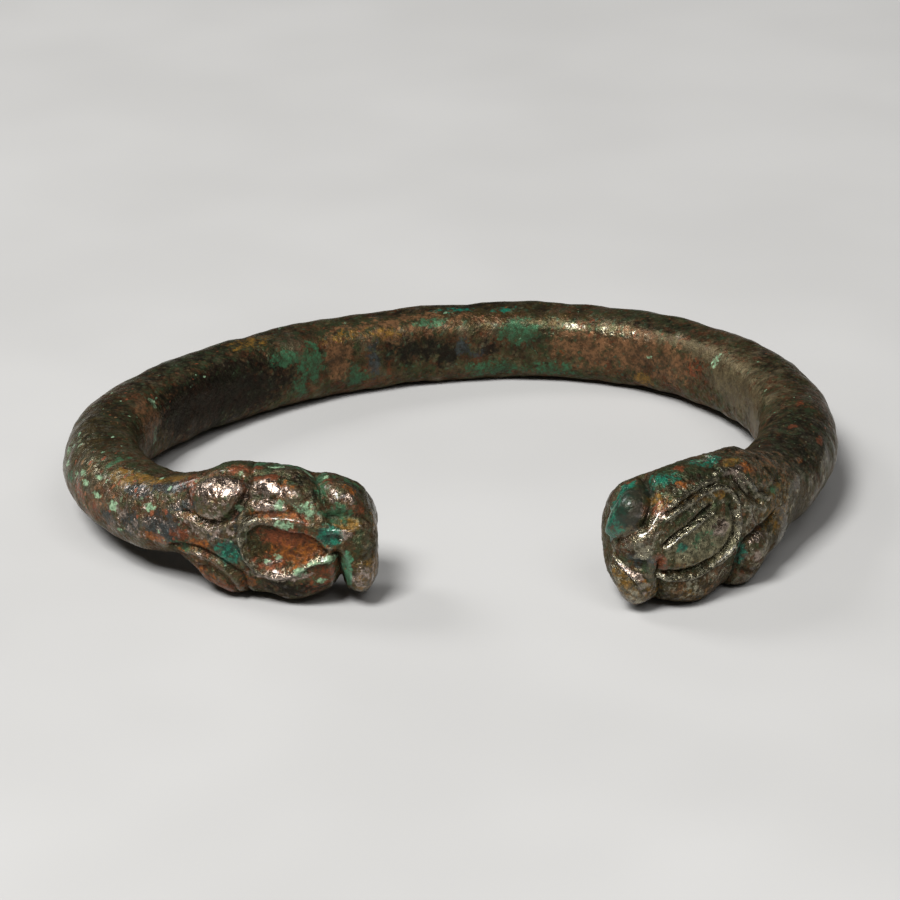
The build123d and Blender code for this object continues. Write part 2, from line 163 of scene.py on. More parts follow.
rightHead = {
    "length": 15.6,
    "endRounding": 2.3,
    "polished": ["knob", "tongue boss"],
    "growth": [
        (0, 0.12, 0.26, 0, -0.2),
        (0.05, 0.58, 0.6, 0.3, 0.1),
        (0.13, 0.74, 0.82, 0.6, 0.5),
        (0.23, 0.94, 0.82, 0.82, 0.8),
        (0.34, 1, 0.88, 1, 1),
        (0.45, 1.02, 0.98, 1, 1),
        (0.57, 1.05, 0.94, 1, 1),
        (0.7, 1.08, 1, 0.85, 0.9),
        (0.8, 1.06, 0.98, 0.62, 0.65),
        (0.89, 0.98, 0.78, 0.42, 0.4),
        (1, 0.76, 0.48, 0.22, 0.18),
        (1.1, 0.5, 0.18, 0.1, 0.06),
        (1.2, 0.31, 0, 0.04, 0),
        (1.32, 0.12, 0, 0, 0),
        (1.45, 0, 0, 0, 0),
    ],
    "masses": [
        ("upper ear", 0.79, 60, 0.16, 26, 0.34),
        ("ear bead", 0.84, 68, 0.07, 12, 0.22),
        ("top lump", 0.96, 103, 0.14, 16, 0.22),
        ("upper cheek", 0.42, 82, 0.27, 34, 0.45),
        ("tongue boss", 0.54, 14, 0.12, 14, 0.3),
        ("lower cheek", 0.41, -50, 0.26, 34, 1),
        ("lower ear", 0.82, -22, 0.15, 21, 1),
        ("lowest ear", 0.8, -50, 0.2, 28, 0.9),
        ("neck below", 1.04, -32, 0.2, 34, 0.55),
        ("back lobe", 0.9, 14, 0.13, 16, 0.34),
        ("knob", 0.045, 58, 0.15, 31, 1),
        ("muzzle below", 0.06, -50, 0.13, 28, 0.74),
        ("nose hollow", 0.09, -11, 0.07, 10, -0.38),
    ],
    "islands": [
        ("tongue", 0.16, 0.7, [(0.2, -15), (0.3, -17), (0.4, -15), (0.48, -11), (0.55, -6), (0.59, 2),
            (0.61, 13), (0.61, 25), (0.57, 33), (0.49, 31), (0.41, 26), (0.34, 21), (0.28, 16), (0.21, 8)]),
    ],
    "lines": [
        ("tongue bed", 0.8, -0.24, [(0.17, -19), (0.28, -21), (0.38, -20), (0.48, -15), (0.57, -7),
            (0.62, 3), (0.64, 20)]),
        ("tongue crease", 0.32, -0.5, [(0.2, -18), (0.3, -20), (0.4, -18), (0.48, -14), (0.55, -9),
            (0.6, -2), (0.62, 8), (0.625, 20), (0.61, 29)]),
        ("tongue ridge", 0.3, 0.26, [(0.21, 7), (0.28, 14), (0.34, 19), (0.41, 24), (0.49, 28)]),
        ("ridge crease", 0.28, -0.42, [(0.2, 9), (0.24, 14), (0.28, 18), (0.34, 23), (0.41, 29),
            (0.49, 34)]),
        ("tongue rim above", 0.34, 0.4, [(0.22, 32), (0.31, 38), (0.4, 43), (0.48, 47), (0.56, 48),
            (0.62, 43), (0.65, 34), (0.66, 26)]),
        ("tongue rim side", 0.3, 0.32, [(0.66, 22), (0.66, 13), (0.655, 3), (0.637, -4)]),
        ("tongue rim below", 0.32, 0.34, [(0.627, -8), (0.58, -14), (0.52, -19), (0.45, -23), (0.37, -26),
            (0.29, -27), (0.22, -26), (0.18, -23)]),
        ("outer ridge", 0.32, 0.38, [(0.25, 41), (0.33, 47), (0.42, 51), (0.5, 54), (0.59, 56)]),
        ("outer groove", 0.3, -0.28, [(0.23, 37), (0.31, 43), (0.4, 47), (0.48, 51), (0.56, 52)]),
        ("knob crease", 0.75, -0.66, [(0.24, 106), (0.21, 88), (0.19, 68), (0.17, 54), (0.14, 42),
            (0.1, 32)]),
        ("knob foot", 1.2, -0.3, [(0.14, 44), (0.12, 35), (0.08, 28), (0.04, 25), (0, 25)]),
        ("nose bridge", 1.1, 0.2, [(0, 8), (0.03, 12), (0.08, 18), (0.13, 25), (0.18, 33), (0.23, 37)]),
        ("nostril ridge", 0.36, 0.34, [(-0.02, -16), (0, -21), (0.03, -24), (0.07, -27), (0.1, -32)]),
        ("nostril groove", 0.26, -0.24, [(-0.02, -21), (0.01, -26), (0.05, -29), (0.08, -33)]),
        ("muzzle crease", 0.6, -0.55, [(0.17, -6), (0.17, -20), (0.2, -34), (0.21, -50), (0.21, -95)]),
        ("ear ridge", 0.38, 0.2, [(0.68, 98), (0.68, 84), (0.66, 72), (0.64, 62)]),
        ("ear fold", 0.4, 0.34, [(0.6, 61), (0.69, 60), (0.74, 52), (0.78, 41), (0.82, 31), (0.89, 23)]),
        ("ear fold crease", 0.34, -0.28, [(0.66, 55), (0.7, 50), (0.73, 42), (0.76, 32), (0.82, 23)]),
        ("ear graining", 0.3, 0.16, [(0.72, 24), (0.78, 20), (0.84, 14)]),
        ("ear second fold", 0.34, 0.2, [(0.7, 34), (0.73, 24), (0.74, 12), (0.78, 4)]),
        ("ear crease", 0.6, -0.24, [(1.08, 42), (1.02, 32), (0.93, 29), (0.84, 30), (0.75, 34),
            (0.71, 42)]),
        ("back ear crease", 0.55, -0.34, [(1, 70), (0.99, 58), (1.02, 46)]),
        ("lower ear crease", 0.5, -0.46, [(0.98, 4), (0.9, 0), (0.82, -3), (0.75, -5), (0.7, -10),
            (0.68, -20), (0.67, -34), (0.66, -60)]),
        ("ear parting", 0.42, -0.26, [(0.71, -36), (0.78, -40), (0.88, -38), (0.97, -30)]),
    ],
}


def headTurn(head, arc):
    return head["length"] / (arc[1] * centreWidth)


def layOutArcs():        # where each arc starts, its heading, radius and turn, clockwise seen from above
    turns = [math.radians(arc[2]) if arc[2] else 0 for arc in hoop["arcs"]]
    turns[0] = headTurn(leftHead, hoop["arcs"][0])
    turns[-1] = headTurn(rightHead, hoop["arcs"][-1])
    heading = turns[0] + turns[1] + turns[2] + math.radians(hoop["startTurn"])
    start = x = y = 0.0
    laid = []
    for arc, turn in zip(hoop["arcs"], turns):
        radius = arc[1] * centreWidth
        centre = (x + radius * math.sin(heading), y - radius * math.cos(heading))
        laid.append({"start": start, "x": x, "y": y, "heading": heading, "radius": radius, "turn": turn,
                     "steps": arc[3], "centre": centre})
        x += radius * (math.sin(heading) - math.sin(heading - turn))
        y += radius * (math.cos(heading - turn) - math.cos(heading))
        heading -= turn
        start += radius * turn
    return laid, start


arcs, routeLength = layOutArcs()
print("route laid out,", round(routeLength, 1), "mm along the middle")


def switchTo(mode):
    bpy.ops.object.mode_set(mode=mode)


def deselectAll():
    if bpy.context.object and bpy.context.object.mode != "OBJECT":
        switchTo("OBJECT")
    bpy.ops.object.select_all(action="DESELECT")


def spinHoop():          # a circle at the left end face, swung along each arc in turn, then closed
    deselectAll()
    bpy.ops.mesh.primitive_circle_add(
        vertices=hoop["ringSides"], radius=hoop["outward"] * mm, location=(0, 0, 0),
        rotation=(math.pi / 2, 0, arcs[0]["heading"] + math.pi / 2))
    casting = bpy.context.object
    casting.name = "braceletCasting"
    bpy.ops.object.transform_apply(location=True, rotation=True, scale=True)
    switchTo("EDIT")
    bpy.ops.mesh.select_all(action="SELECT")
    for arc in arcs:
        bpy.ops.mesh.spin(steps=arc["steps"], angle=arc["turn"], axis=(0, 0, 1), use_normal_flip=False,
                          center=(arc["centre"][0] * mm, arc["centre"][1] * mm, 0))
    bpy.ops.mesh.select_all(action="SELECT")
    bpy.ops.mesh.remove_doubles(threshold=hoop["weld"] * mm)
    bpy.ops.mesh.select_all(action="DESELECT")
    bpy.ops.mesh.select_non_manifold(extend=False, use_wire=False, use_multi_face=False,
                                     use_non_contiguous=False, use_verts=False)      # the two open rims
    bpy.ops.mesh.edge_face_add()
    switchTo("OBJECT")
    for _ in range(2):                           # rings and a centre on each end face
        deselectAll()
        casting.select_set(True)
        rim = [face.index for face in casting.data.polygons if len(face.vertices) == hoop["ringSides"]][0]
        switchTo("EDIT")
        bpy.ops.mesh.select_mode(type="FACE")
        bpy.ops.mesh.select_all(action="DESELECT")
        switchTo("OBJECT")
        casting.data.polygons[rim].select = True
        switchTo("EDIT")
        for _ in range(hoop["endRings"]):
            bpy.ops.mesh.inset(thickness=hoop["outward"] * mm * hoop["endRingWidth"], use_even_offset=True)
        bpy.ops.mesh.poke()
        switchTo("OBJECT")
    switchTo("EDIT")
    bpy.ops.mesh.select_all(action="SELECT")
    bpy.ops.mesh.normals_make_consistent(inside=False)
    switchTo("OBJECT")
    return casting


def applyModifier(piece, kind, **settings):
    modifier = piece.modifiers.new(kind.title(), kind)
    for name, value in settings.items():
        setattr(modifier, name, value)
    bpy.ops.object.modifier_apply(modifier=modifier.name)


def readVectors(mesh, what="co"):        # the places of the vertices in metres, or their normals
    values = np.zeros(len(mesh.vertices) * 3)
    mesh.vertices.foreach_get(what, values)
    return values.reshape(-1, 3)


def writeVertices(mesh, places):
    mesh.vertices.foreach_set("co", places.ravel())
    mesh.update()


def readRoute(points):   # each vertex's distance along the route, angle round it and share of its size
    slack = 1e-4             # radians past an arc's ends
    endReach = 0.001         # mm within which a vertex lies on an end face
    rimShare = 0.985         # share of the size from which it lies on that face's rim
    best = np.full(len(points), 1e9)
    distance = np.zeros(len(points))
    across = np.zeros(len(points))
    for arc in arcs:
        dx = points[:, 0] - arc["centre"][0]
        dy = points[:, 1] - arc["centre"][1]
        reach = np.hypot(dx, dy)
        bearing = np.arctan2(dy, dx)
        turned = (arc["heading"] + math.pi / 2 - bearing + math.pi) % (2 * math.pi) - math.pi
        aside = reach - arc["radius"]
        near = (turned > -slack) & (turned < arc["turn"] + slack) & (np.abs(aside) < best)
        best[near] = np.abs(aside[near])
        across[near] = aside[near]
        distance[near] = arc["start"] + arc["radius"] * np.clip(turned[near], 0, arc["turn"])
    angle = np.arctan2(points[:, 2], across)
    size = np.hypot(points[:, 2], across) / hoop["outward"]
    atEnd = (distance < endReach) | (distance > routeLength - endReach)
    share = np.where(atEnd & (size < rimShare), size, 1.0)
    return distance, np.degrees(angle - hoop["outwardCrowding"] * np.sin(angle)), share


def routeAt(distance):   # place and heading on the centre line
    x = np.zeros_like(distance)
    y = np.zeros_like(distance)
    heading = np.zeros_like(distance)
    for arc in arcs:
        on = distance >= arc["start"] - 1e-9
        turn = (distance[on] - arc["start"]) / arc["radius"]
        x[on] = arc["x"] + arc["radius"] * (np.sin(arc["heading"]) - np.sin(arc["heading"] - turn))
        y[on] = arc["y"] + arc["radius"] * (np.cos(arc["heading"] - turn) - np.cos(arc["heading"]))
        heading[on] = arc["heading"] - turn
    return x, y, heading


def curveThrough(points, closed=False, parts=5):      # a smooth curve, in straight parts
    points = list(np.array(points, float))
    if closed:
        padded = [points[-1], *points, *points[:2]]
    else:
        padded = [points[0], *points, points[-1]]
    curve = []
    for a, b, c, d in zip(padded, padded[1:], padded[2:], padded[3:]):
        for part in range(parts):
            t = part / parts
            curve.append(0.5 * (2 * b + (c - a) * t + (2 * a - 5 * b + 4 * c - d) * t * t
                                + (3 * b - a - 3 * c + d) * t ** 3))
    return np.array([*curve, padded[-2]])


def plainSection(station, angle, head):          # outward and upward, before carving
    rows = curveThrough(head["growth"])
    cos = np.cos(np.radians(angle))
    sin = np.sin(np.radians(angle))
    plain = {"above": hoop["height"] / 2, "below": hoop["height"] / 2, "outward": hoop["outward"],
             "inward": hoop["inward"]}
    above, below, outward, inward = [
        size + np.interp(station, rows[:, 0], rows[:, column]) * (fullHead[side] - size)
        for column, (side, size) in enumerate(plain.items(), 1)]
    hoopPower = np.where(cos > 0, 2.0, hoop["wristSquareness"])
    headness = np.clip((rows[-1, 0] - station) / hoop["neckBlend"], 0, 1)
    power = hoopPower + headness * (hoop["headSquareness"] - hoopPower)
    reach = (np.abs(cos) ** power + np.abs(sin) ** power) ** (-1 / power)
    sideways = reach * cos * np.where(cos > 0, outward, inward)
    return sideways, reach * sin * np.where(sin > 0, above, below)


def bump(distance):      # 1 in the middle, 0 from 1 on
    return (1 - np.clip(distance, 0, 1) ** 2) ** 2


def crease(distance):    # the same with a sharp bottom
    return (1 - np.clip(distance, 0, 1)) ** 1.5


def gapToCurve(along, around, curve):
    gap = np.full(len(along), 1e9)
    for (x, y), (dx, dy) in zip(curve, np.diff(curve, axis=0)):
        share = np.clip(((along - x) * dx + (around - y) * dy) / (dx ** 2 + dy ** 2 + 1e-12), 0, 1)
        gap = np.minimum(gap, np.hypot(along - x - share * dx, around - y - share * dy))
    return gap


def insideCurve(along, around, curve):
    inside = np.zeros(len(along), bool)
    for (x, y), (dx, dy) in zip(curve, np.diff(curve, axis=0)):
        crosses = (y > around) != (y + dy > around)
        inside ^= crosses & (along < x + (around - y) * dx / (dy + 1e-12))
    return inside


degreeArm = math.radians(1) * (fullHead["above"] + fullHead["outward"]) / 2     # mm of surface per degree


def headCurve(points, head, closed=False):          # in mm on the unrolled head
    unrolled = [(station * head["length"], angle * degreeArm) for station, angle in points]
    return curveThrough(unrolled, closed)


def fromEnds(distance):              # both heads, each with the distance from its end face
    return (leftHead, distance), (rightHead, routeLength - distance)


def neckEnd(head):                   # distance from the end face at which the plain hoop begins
    return head["growth"][-1][0] * head["length"]


def carving(along, angle, head):     # height over the plain form, along in mm from the end face
    station = along / head["length"]
    around = angle * degreeArm
    height = np.zeros(len(station))
    for _, s, a, halfLength, halfWidth, rise in head["masses"]:
        height += rise * bump(np.hypot((station - s) / halfLength, (angle - a) / halfWidth))
    for _, rise, edge, outline in head["islands"]:
        curve = headCurve(outline, head, closed=True)
        depth = np.where(insideCurve(along, around, curve), gapToCurve(along, around, curve), 0) / edge
        height += rise * np.sqrt(np.clip(1 - (1 - np.clip(depth, 0, 1)) ** 2, 0, 1))
    for _, halfWidth, rise, points in head["lines"]:
        gap = gapToCurve(along, around, headCurve(points, head)) / halfWidth
        height += rise * (bump(gap) if rise > 0 else crease(gap))
    return height


def polish(distance, angle):         # 1 on the middle of the polished masses, 0 away from them
    polished = np.zeros(len(distance))
    for head, fromEnd in fromEnds(distance):
        for name, s, a, halfLength, halfWidth, _ in head["masses"]:
            if name in head["polished"]:
                reach = np.hypot((fromEnd / head["length"] - s) / halfLength, (angle - a) / halfWidth)
                polished = np.maximum(polished, bump(reach))
    return polished


def roundedEnd(fromEnd, radius):     # crowds the rows at an end face, and how far its edge draws in there
    turn = np.clip(fromEnd / radius, 0, 1) * math.pi / 2
    eased = np.where(fromEnd < radius, radius * (1 - np.cos(turn)), fromEnd)
    return eased, radius * (1 - np.sin(turn))


def plainCasting(distance, angle, share):
    across = np.zeros(len(distance))
    up = np.zeros(len(distance))
    along = distance.copy()
    for head, fromEnd in fromEnds(distance):
        here = fromEnd <= routeLength / 2
        eased, drawnIn = roundedEnd(fromEnd[here], head["endRounding"])
        station = eased / head["length"]
        sideways, upward = plainSection(station, angle[here], head)
        size = np.hypot(sideways, upward)
        across[here] = sideways * (size - drawnIn) / size * share[here]
        up[here] = upward * (size - drawnIn) / size * share[here]
        along[here] = eased if head is leftHead else routeLength - eased
    x, y, heading = routeAt(along)
    return np.stack([x - across * np.sin(heading), y + across * np.cos(heading), up], 1), along


def carveHeads(places, normals, along, angle, share):
    for head, fromEnd in fromEnds(along):
        here = fromEnd < neckEnd(head)
        inward = fromEnd[here] - (1 - share[here]) * hoop["outward"]      # goes on across the end face
        neckFade = np.clip((neckEnd(head) - fromEnd[here]) / fullHead["neckFade"], 0, 1)
        endFade = np.clip(share[here] * fullHead["endFade"], 0, 1)
        height = carving(inward, angle[here], head) * (neckFade * endFade)
        places[here] += normals[here] * height[:, None]
    return places


casting = spinHoop()
print("hoop spun,", len(casting.data.polygons), "faces")
applyModifier(casting, "SUBSURF", subdivision_type="SIMPLE", levels=2, render_levels=2)
distance, angle, share = readRoute(readVectors(casting.data) / mm)
placed, distance = plainCasting(distance, angle, share)
writeVertices(casting.data, placed * mm)
placed = carveHeads(placed, readVectors(casting.data, "normal"), distance, angle, share)
writeVertices(casting.data, placed * mm)
print("heads carved")

# The skin of the casting: slow lumps, then dents, then pits. Sizes and depths in mm
castSkin = [
    # name, size, depth, finer octaves, what counts as no displacement
    ("lumps", 4.5, 0.34, 0, 0.5),
    ("dents", 1.7, 0.22, 0, 0.5),
    ("pits", 0.6, 0.10, 1, 0.3),
]
pitting = {
    "reach": 18,                # mm from the end faces. The hoop's faces are too long for the finest pits
    "polishedFrom": 0.3,
    "polishedWeight": 0.35,     # the polished masses are pitted less
}


def roughen(casting, distance, angle):
    fine = casting.vertex_groups.new(name="heads")
    onHeads = (distance < pitting["reach"]) | (distance > routeLength - pitting["reach"])
    polished = polish(distance, angle) > pitting["polishedFrom"]
    fine.add(np.nonzero(onHeads)[0].tolist(), 1.0, "REPLACE")
    fine.add(np.nonzero(polished)[0].tolist(), pitting["polishedWeight"], "REPLACE")
    for name, size, depth, octaves, middle in castSkin:
        texture = bpy.data.textures.new(name, "CLOUDS")
        texture.noise_scale = size * mm
        texture.noise_depth = octaves
        texture.noise_type = "HARD_NOISE" if name == "pits" else "SOFT_NOISE"
        applyModifier(casting, "DISPLACE", texture=texture, texture_coords="LOCAL", strength=depth * mm,
                      mid_level=middle, vertex_group="heads" if name == "pits" else "")


roughen(casting, distance, angle)
x, y, z = (readVectors(casting.data) / mm).T
tip = math.radians(hoop["tipBack"])
lying = np.stack([x, y * math.cos(tip) + z * math.sin(tip), z * math.cos(tip) - y * math.sin(tip)], 1)
lying += hoop["shift"]
pressed = hoop["pressed"]
low = lying[:, 2] < pressed
lying[low, 2] = pressed * np.exp(lying[low, 2] / pressed - 1)
lying[:, 2] -= lying[:, 2].min()
writeVertices(casting.data, lying * mm)
bpy.ops.object.shade_smooth()
print("casting shaped,", len(casting.data.polygons), "faces")

# Patina, daubed on. Each kind has its own colours, from its thin edge to its middle.
# A later kind lies over the earlier ones.
# Some daubs are painted light as well as patina: painted shade in the dark kind and a painted highlight
# streak on the hoop's back.
patinas = {
    # kind: thin colour, full colour, roughness, metal, ragged edge, size of its mottling in mm
    # the dark kind is partly dark patina and partly painted shade
    "dark": ((0.014, 0.012, 0.009), (0.005, 0.004, 0.004), 0.42, 0.6, 0.7, 1.0),
    "slate": ((0.026, 0.028, 0.026), (0.052, 0.064, 0.066), 0.28, 0.6, 1.0, 0.8),
    "pale": ((0.075, 0.058, 0.032), (0.135, 0.106, 0.056), 0.42, 0.4, 0.9, 0.9),
    "olive": ((0.030, 0.030, 0.014), (0.036, 0.056, 0.026), 0.32, 0.5, 1.3, 1.2),
    "umber": ((0.018, 0.012, 0.005), (0.062, 0.042, 0.015), 0.34, 0.5, 1.2, 1.0),
    "russet": ((0.060, 0.034, 0.016), (0.190, 0.092, 0.042), 0.40, 0.3, 1.3, 1.1),
    "red": ((0.080, 0.026, 0.012), (0.200, 0.054, 0.022), 0.34, 0.4, 1.1, 0.8),
    "orange": ((0.085, 0.026, 0.010), (0.270, 0.085, 0.014), 0.32, 0.2, 1.2, 0.8),
    "ochre": ((0.075, 0.046, 0.014), (0.210, 0.108, 0.018), 0.38, 0.3, 1.2, 0.7),
    "pewter": ((0.085, 0.080, 0.048), (0.300, 0.270, 0.165), 0.24, 0.8, 1.0, 0.8),
    "lustre": ((0.046, 0.042, 0.022), (0.340, 0.310, 0.220), 0.18, 1.0, 1.3, 0.9),
    "bare": ((0.100, 0.066, 0.044), (0.450, 0.350, 0.290), 0.17, 1.0, 1.1, 0.9),
    "teal": ((0.006, 0.034, 0.026), (0.006, 0.160, 0.098), 0.26, 0.2, 0.9, 0.9),
    "green": ((0.026, 0.048, 0.022), (0.034, 0.118, 0.058), 0.42, 0.2, 1.2, 0.8),
    "verdigris": ((0.040, 0.100, 0.055), (0.065, 0.210, 0.115), 0.50, 0.0, 1.1, 0.6),
    "black": ((0.018, 0.020, 0.013), (0.010, 0.014, 0.010), 0.40, 0.2, 1.0, 0.7),
    "mint": ((0.100, 0.180, 0.100), (0.300, 0.460, 0.280), 0.60, 0.0, 1.3, 0.38),
}
leftDaubs = {
    # kind: station, angle, half length and half width in mm, strength
    "dark": [(0.1, 84, 1.6, 1, 0.6), (0.5, -33, 1.3, 0.6, 0.9), (0.39, 68, 1.2, 0.9, 0.7),
        (0.32, 54, 0.7, 1.6, 0.6), (0.42, -42, 3.2, 1.2, 0.8)],
    "slate": [(0.8, 2, 2.2, 1, 0.7), (1.02, 34, 1.4, 0.6, 0.9), (0.7, 22, 0.6, 1, 0.7)],
    "pale": [(0.685, 6, 0.3, 2.4, 1.1), (0.07, 10, 1.4, 1.6, 0.5), (0.88, 10, 2.4, 1.2, 0.5)],
    "olive": [(0.08, 5, 1.2, 2.2, 0.8), (0.85, 88, 2.6, 1.2, 0.9), (0.56, 84, 2.4, 1, 0.7),
        (0.59, 6, 1.3, 1.4, 0.9)],
    "umber": [(0.57, 0, 1.6, 1.6, 0.9), (0.06, -12, 1.4, 2, 0.7)],
    "russet": [(0.74, 78, 1, 0.8, 0.9)],
    "red": [(1.03, 69, 0.8, 1.6, 0.8), (0.965, 48, 0.35, 1.1, 1), (0.69, 51, 0.3, 0.8, 0.9),
        (0.75, 80, 1.3, 0.9, 0.9), (0.71, 56, 0.5, 0.9, 0.8), (0.58, 65, 1.5, 0.5, 1.1),
        (0.53, 33, 0.9, 0.5, 0.7), (0.38, 31, 0.9, 0.6, 0.8), (0.25, 74, 0.6, 1, 0.8),
        (0.09, 52, 0.6, 0.8, 0.7), (0.45, 12, 2.4, 0.9, 1.2), (0.54, -16, 1.6, 0.9, 0.8),
        (0.25, -24, 1.6, 1.2, 0.7), (0.31, -42, 0.9, 0.8, 0.6), (0.97, -54, 1, 1, 0.9),
        (0.79, -44, 1.4, 0.9, 0.8), (1.03, 2, 1.2, 0.7, 0.7), (0.655, 84, 0.5, 0.4, 1),
        (0.33, 94, 0.5, 0.5, 0.9)],
    "orange": [(0.47, 52, 0.8, 0.9, 0.9), (0.6, 31, 1, 0.6, 0.8), (0.44, 34, 0.8, 0.5, 0.8),
        (0.15, 64, 0.6, 0.6, 0.8), (0.41, -4, 2, 1.2, 1), (0.34, 4, 1.8, 0.8, 0.9),
        (0.88, -46, 1.6, 1, 0.9), (0.65, -34, 0.7, 0.7, 0.8), (0.91, -4, 0.9, 0.6, 0.8)],
    "ochre": [(0.07, -28, 1.2, 1.6, 0.6), (0.14, 30, 1, 0.7, 1), (0.93, 26, 1, 0.4, 0.9),
        (0.01, -30, 0.4, 1.6, 1), (0.01, 62, 0.4, 1.6, 0.9)],
    "bare": [(0.8, 50, 2.2, 1, 1.3), (0.84, 46, 2.2, 1.4, 0.8), (0.57, 54, 1.6, 0.6, 1.3),
        (0.46, 50, 1, 0.5, 1), (0.56, 38, 1.5, 0.5, 1.1), (0.19, 53, 1.1, 0.6, 0.8),
        (0.5, -26, 2.6, 0.4, 1), (0.84, 10, 2.4, 0.9, 0.45), (0.55, -15, 0.35, 0.25, 1.2),
        (0.5, -13, 0.3, 0.25, 1.2), (0.92, -20, 1.8, 0.3, 0.5), (0.17, 18, 0.8, 0.5, 0.8),
        (0.9, 22, 2, 0.5, 0.7), (0.07, -25, 1, 1.2, 0.6)],
    "teal": [(0.75, -8, 1.2, 1, 1.1), (0.24, 15, 1, 1, 1.1)],
    "green": [(0.65, 98, 1.2, 0.9, 0.7), (0.52, 98, 2, 0.8, 0.7), (0.4, 94, 1.6, 0.7, 0.8),
        (0.31, 86, 0.7, 1.6, 1), (0.28, 60, 0.6, 1.6, 0.8), (0.16, 92, 2, 0.8, 0.7),
        (0.2, 37, 1.4, 0.8, 0.9), (1.02, -18, 1, 0.7, 0.8)],
    "verdigris": [(0.15, -14, 0.45, 1.2, 1.1), (0.155, -30, 0.4, 1.4, 1.3)],
    "black": [(0.59, 9, 0.6, 0.6, 0.35)],
    "mint": [(0.55, 86, 0.7, 0.3, 0.8), (0.38, 88, 0.5, 0.3, 0.8), (0.28, 84, 0.4, 0.4, 0.8),
        (0.49, 39, 0.45, 0.42, 1.1), (0.38, 39, 0.55, 0.4, 0.9), (0.34, 38, 0.45, 0.62, 1.1),
        (0.46, 23, 0.75, 0.35, 1), (0.38, -20, 0.5, 0.5, 1.1), (0.28, -34, 0.45, 0.35, 1),
        (0.24, -8, 0.7, 0.45, 1), (0.31, -11, 0.6, 0.35, 0.7), (0.5, -9, 0.35, 0.28, 0.8),
        (0.56, -14, 0.35, 0.25, 0.7), (0.7, 34, 0.25, 0.3, 0.9), (0.73, 72, 0.25, 0.35, 0.8)],
}
rightDaubs = {
    "dark": [(0.46, 66, 4, 1, 0.6), (1.22, -34, 4, 1.8, 0.8), (0.34, -48, 3.4, 0.8, 0.9),
        (0.08, -9, 0.9, 0.9, 0.7), (0.92, 92, 2, 1.4, 0.8), (0.5, 92, 1.8, 1, 0.6)],
    "slate": [(0.4, 0, 1.6, 1.2, 0.9), (0.08, -4, 1, 1.2, 0.8), (0.4, 2, 1.2, 0.8, 0.8)],
    "olive": [(0.5, 20, 6, 5.5, 0.7), (0.1, -30, 3, 3, 0.5), (0.95, 20, 4, 5, 0.7), (1.15, -20, 4, 3, 0.9),
        (0.34, 84, 4, 2, 0.9)],
    "umber": [(0.4, -42, 4, 1.8, 0.9), (0.06, -42, 2, 2.4, 0.8), (0.72, 4, 1.6, 2.2, 0.8),
        (1, -6, 3, 3, 0.8), (1.28, -12, 4, 3.4, 0.8), (1.12, 24, 3, 3, 0.6), (0.84, -34, 2.6, 1.8, 0.7)],
    "russet": [(0.95, 80, 1.2, 1, 0.8), (0.84, 50, 1.6, 1.4, 0.6), (0.45, -36, 3, 1.6, 0.45),
        (0.74, 12, 1.6, 1.4, 0.6)],
    "red": [(0.14, 98, 0.6, 0.6, 0.9), (0.05, 96, 0.5, 0.5, 0.7), (0.41, 80, 0.7, 0.5, 0.9),
        (0.21, 42, 0.7, 0.8, 0.8), (0.18, -6, 0.5, 0.9, 1), (0.2, -12, 0.5, 0.5, 0.8),
        (0.49, 108, 0.8, 0.6, 0.7), (0.81, -2, 0.7, 0.4, 0.6), (0.65, 42, 0.5, 0.4, 0.6)],
    "orange": [(0.37, 61, 0.5, 0.5, 0.9), (0.09, -28, 0.4, 0.4, 1), (0.81, 55, 0.7, 0.6, 1)],
    "ochre": [(1, 24, 2.4, 1.2, 0.7), (0.53, 42, 1.4, 0.4, 0.8), (0.36, 44, 2.6, 0.4, 0.8),
        (0.4, -12, 2.4, 0.5, 0.7), (0.98, 10, 2.6, 2.4, 0.6), (0.05, -42, 1.6, 1.6, 0.8),
        (0.14, -38, 1, 1, 0.7), (0.74, 68, 1, 0.6, 0.9), (0.2, 56, 0.7, 0.5, 0.9),
        (0.39, -45, 1.4, 0.8, 0.5), (1.08, 8, 1.6, 1.4, 0.4)],
    "pewter": [(0.44, 5, 3.2, 1.7, 1.5), (0.12, 20, 1.6, 1.2, 0.4)],
    "lustre": [(0.76, 16, 2.2, 2, 0.6), (0.45, 46, 4, 1.2, 0.5), (0.4, -32, 4, 1.4, 0.4),
        (0.8, -22, 2, 2, 0.45), (0.06, -42, 1.8, 2.2, 0.45), (0.12, 16, 2, 1.8, 0.6),
        (1.06, 10, 3, 2.6, 0.35), (0.72, 40, 1.2, 1.2, 0.8)],
    "bare": [(0.52, 14, 0.8, 0.8, 1), (0.09, 20, 1.4, 0.4, 0.4), (0.19, 36, 0.9, 0.8, 0.6),
        (0.8, -8, 1.2, 0.3, 0.8), (0.76, -22, 0.6, 0.5, 0.6), (0.04, -24, 1, 0.4, 1),
        (0.74, 50, 0.7, 1, 0.6), (0.11, 46, 0.6, 0.5, 0.9), (0.72, 57, 1.2, 0.3, 0.9),
        (0.6, 86, 1.6, 0.4, 0.6), (0.14, -36, 0.8, 0.6, 0.5), (0.115, 46, 0.5, 0.6, 1.2)],
    "teal": [(0.01, 68, 1.1, 2.4, 1.5), (0.1, 92, 1.6, 1, 0.9), (0.28, 74, 1.6, 1.2, 0.7),
        (0.62, 82, 1.8, 0.9, 0.8), (0.68, -17, 0.5, 1.1, 0.9), (0.29, 4, 0.5, 0.5, 0.9)],
    "green": [(1, 29, 0.7, 0.8, 0.7), (0.44, 6, 1.6, 0.8, 0.5)],
    "verdigris": [(0.01, 66, 0.5, 0.8, 0.7), (0.26, 70, 0.6, 0.4, 0.4), (0.58, 88, 0.8, 0.4, 0.5)],
    "black": [(0.1, 66, 0.6, 1.4, 1), (0.07, 50, 0.6, 1.7, 1.3), (0.17, 72, 0.7, 1.2, 0.9)],
}
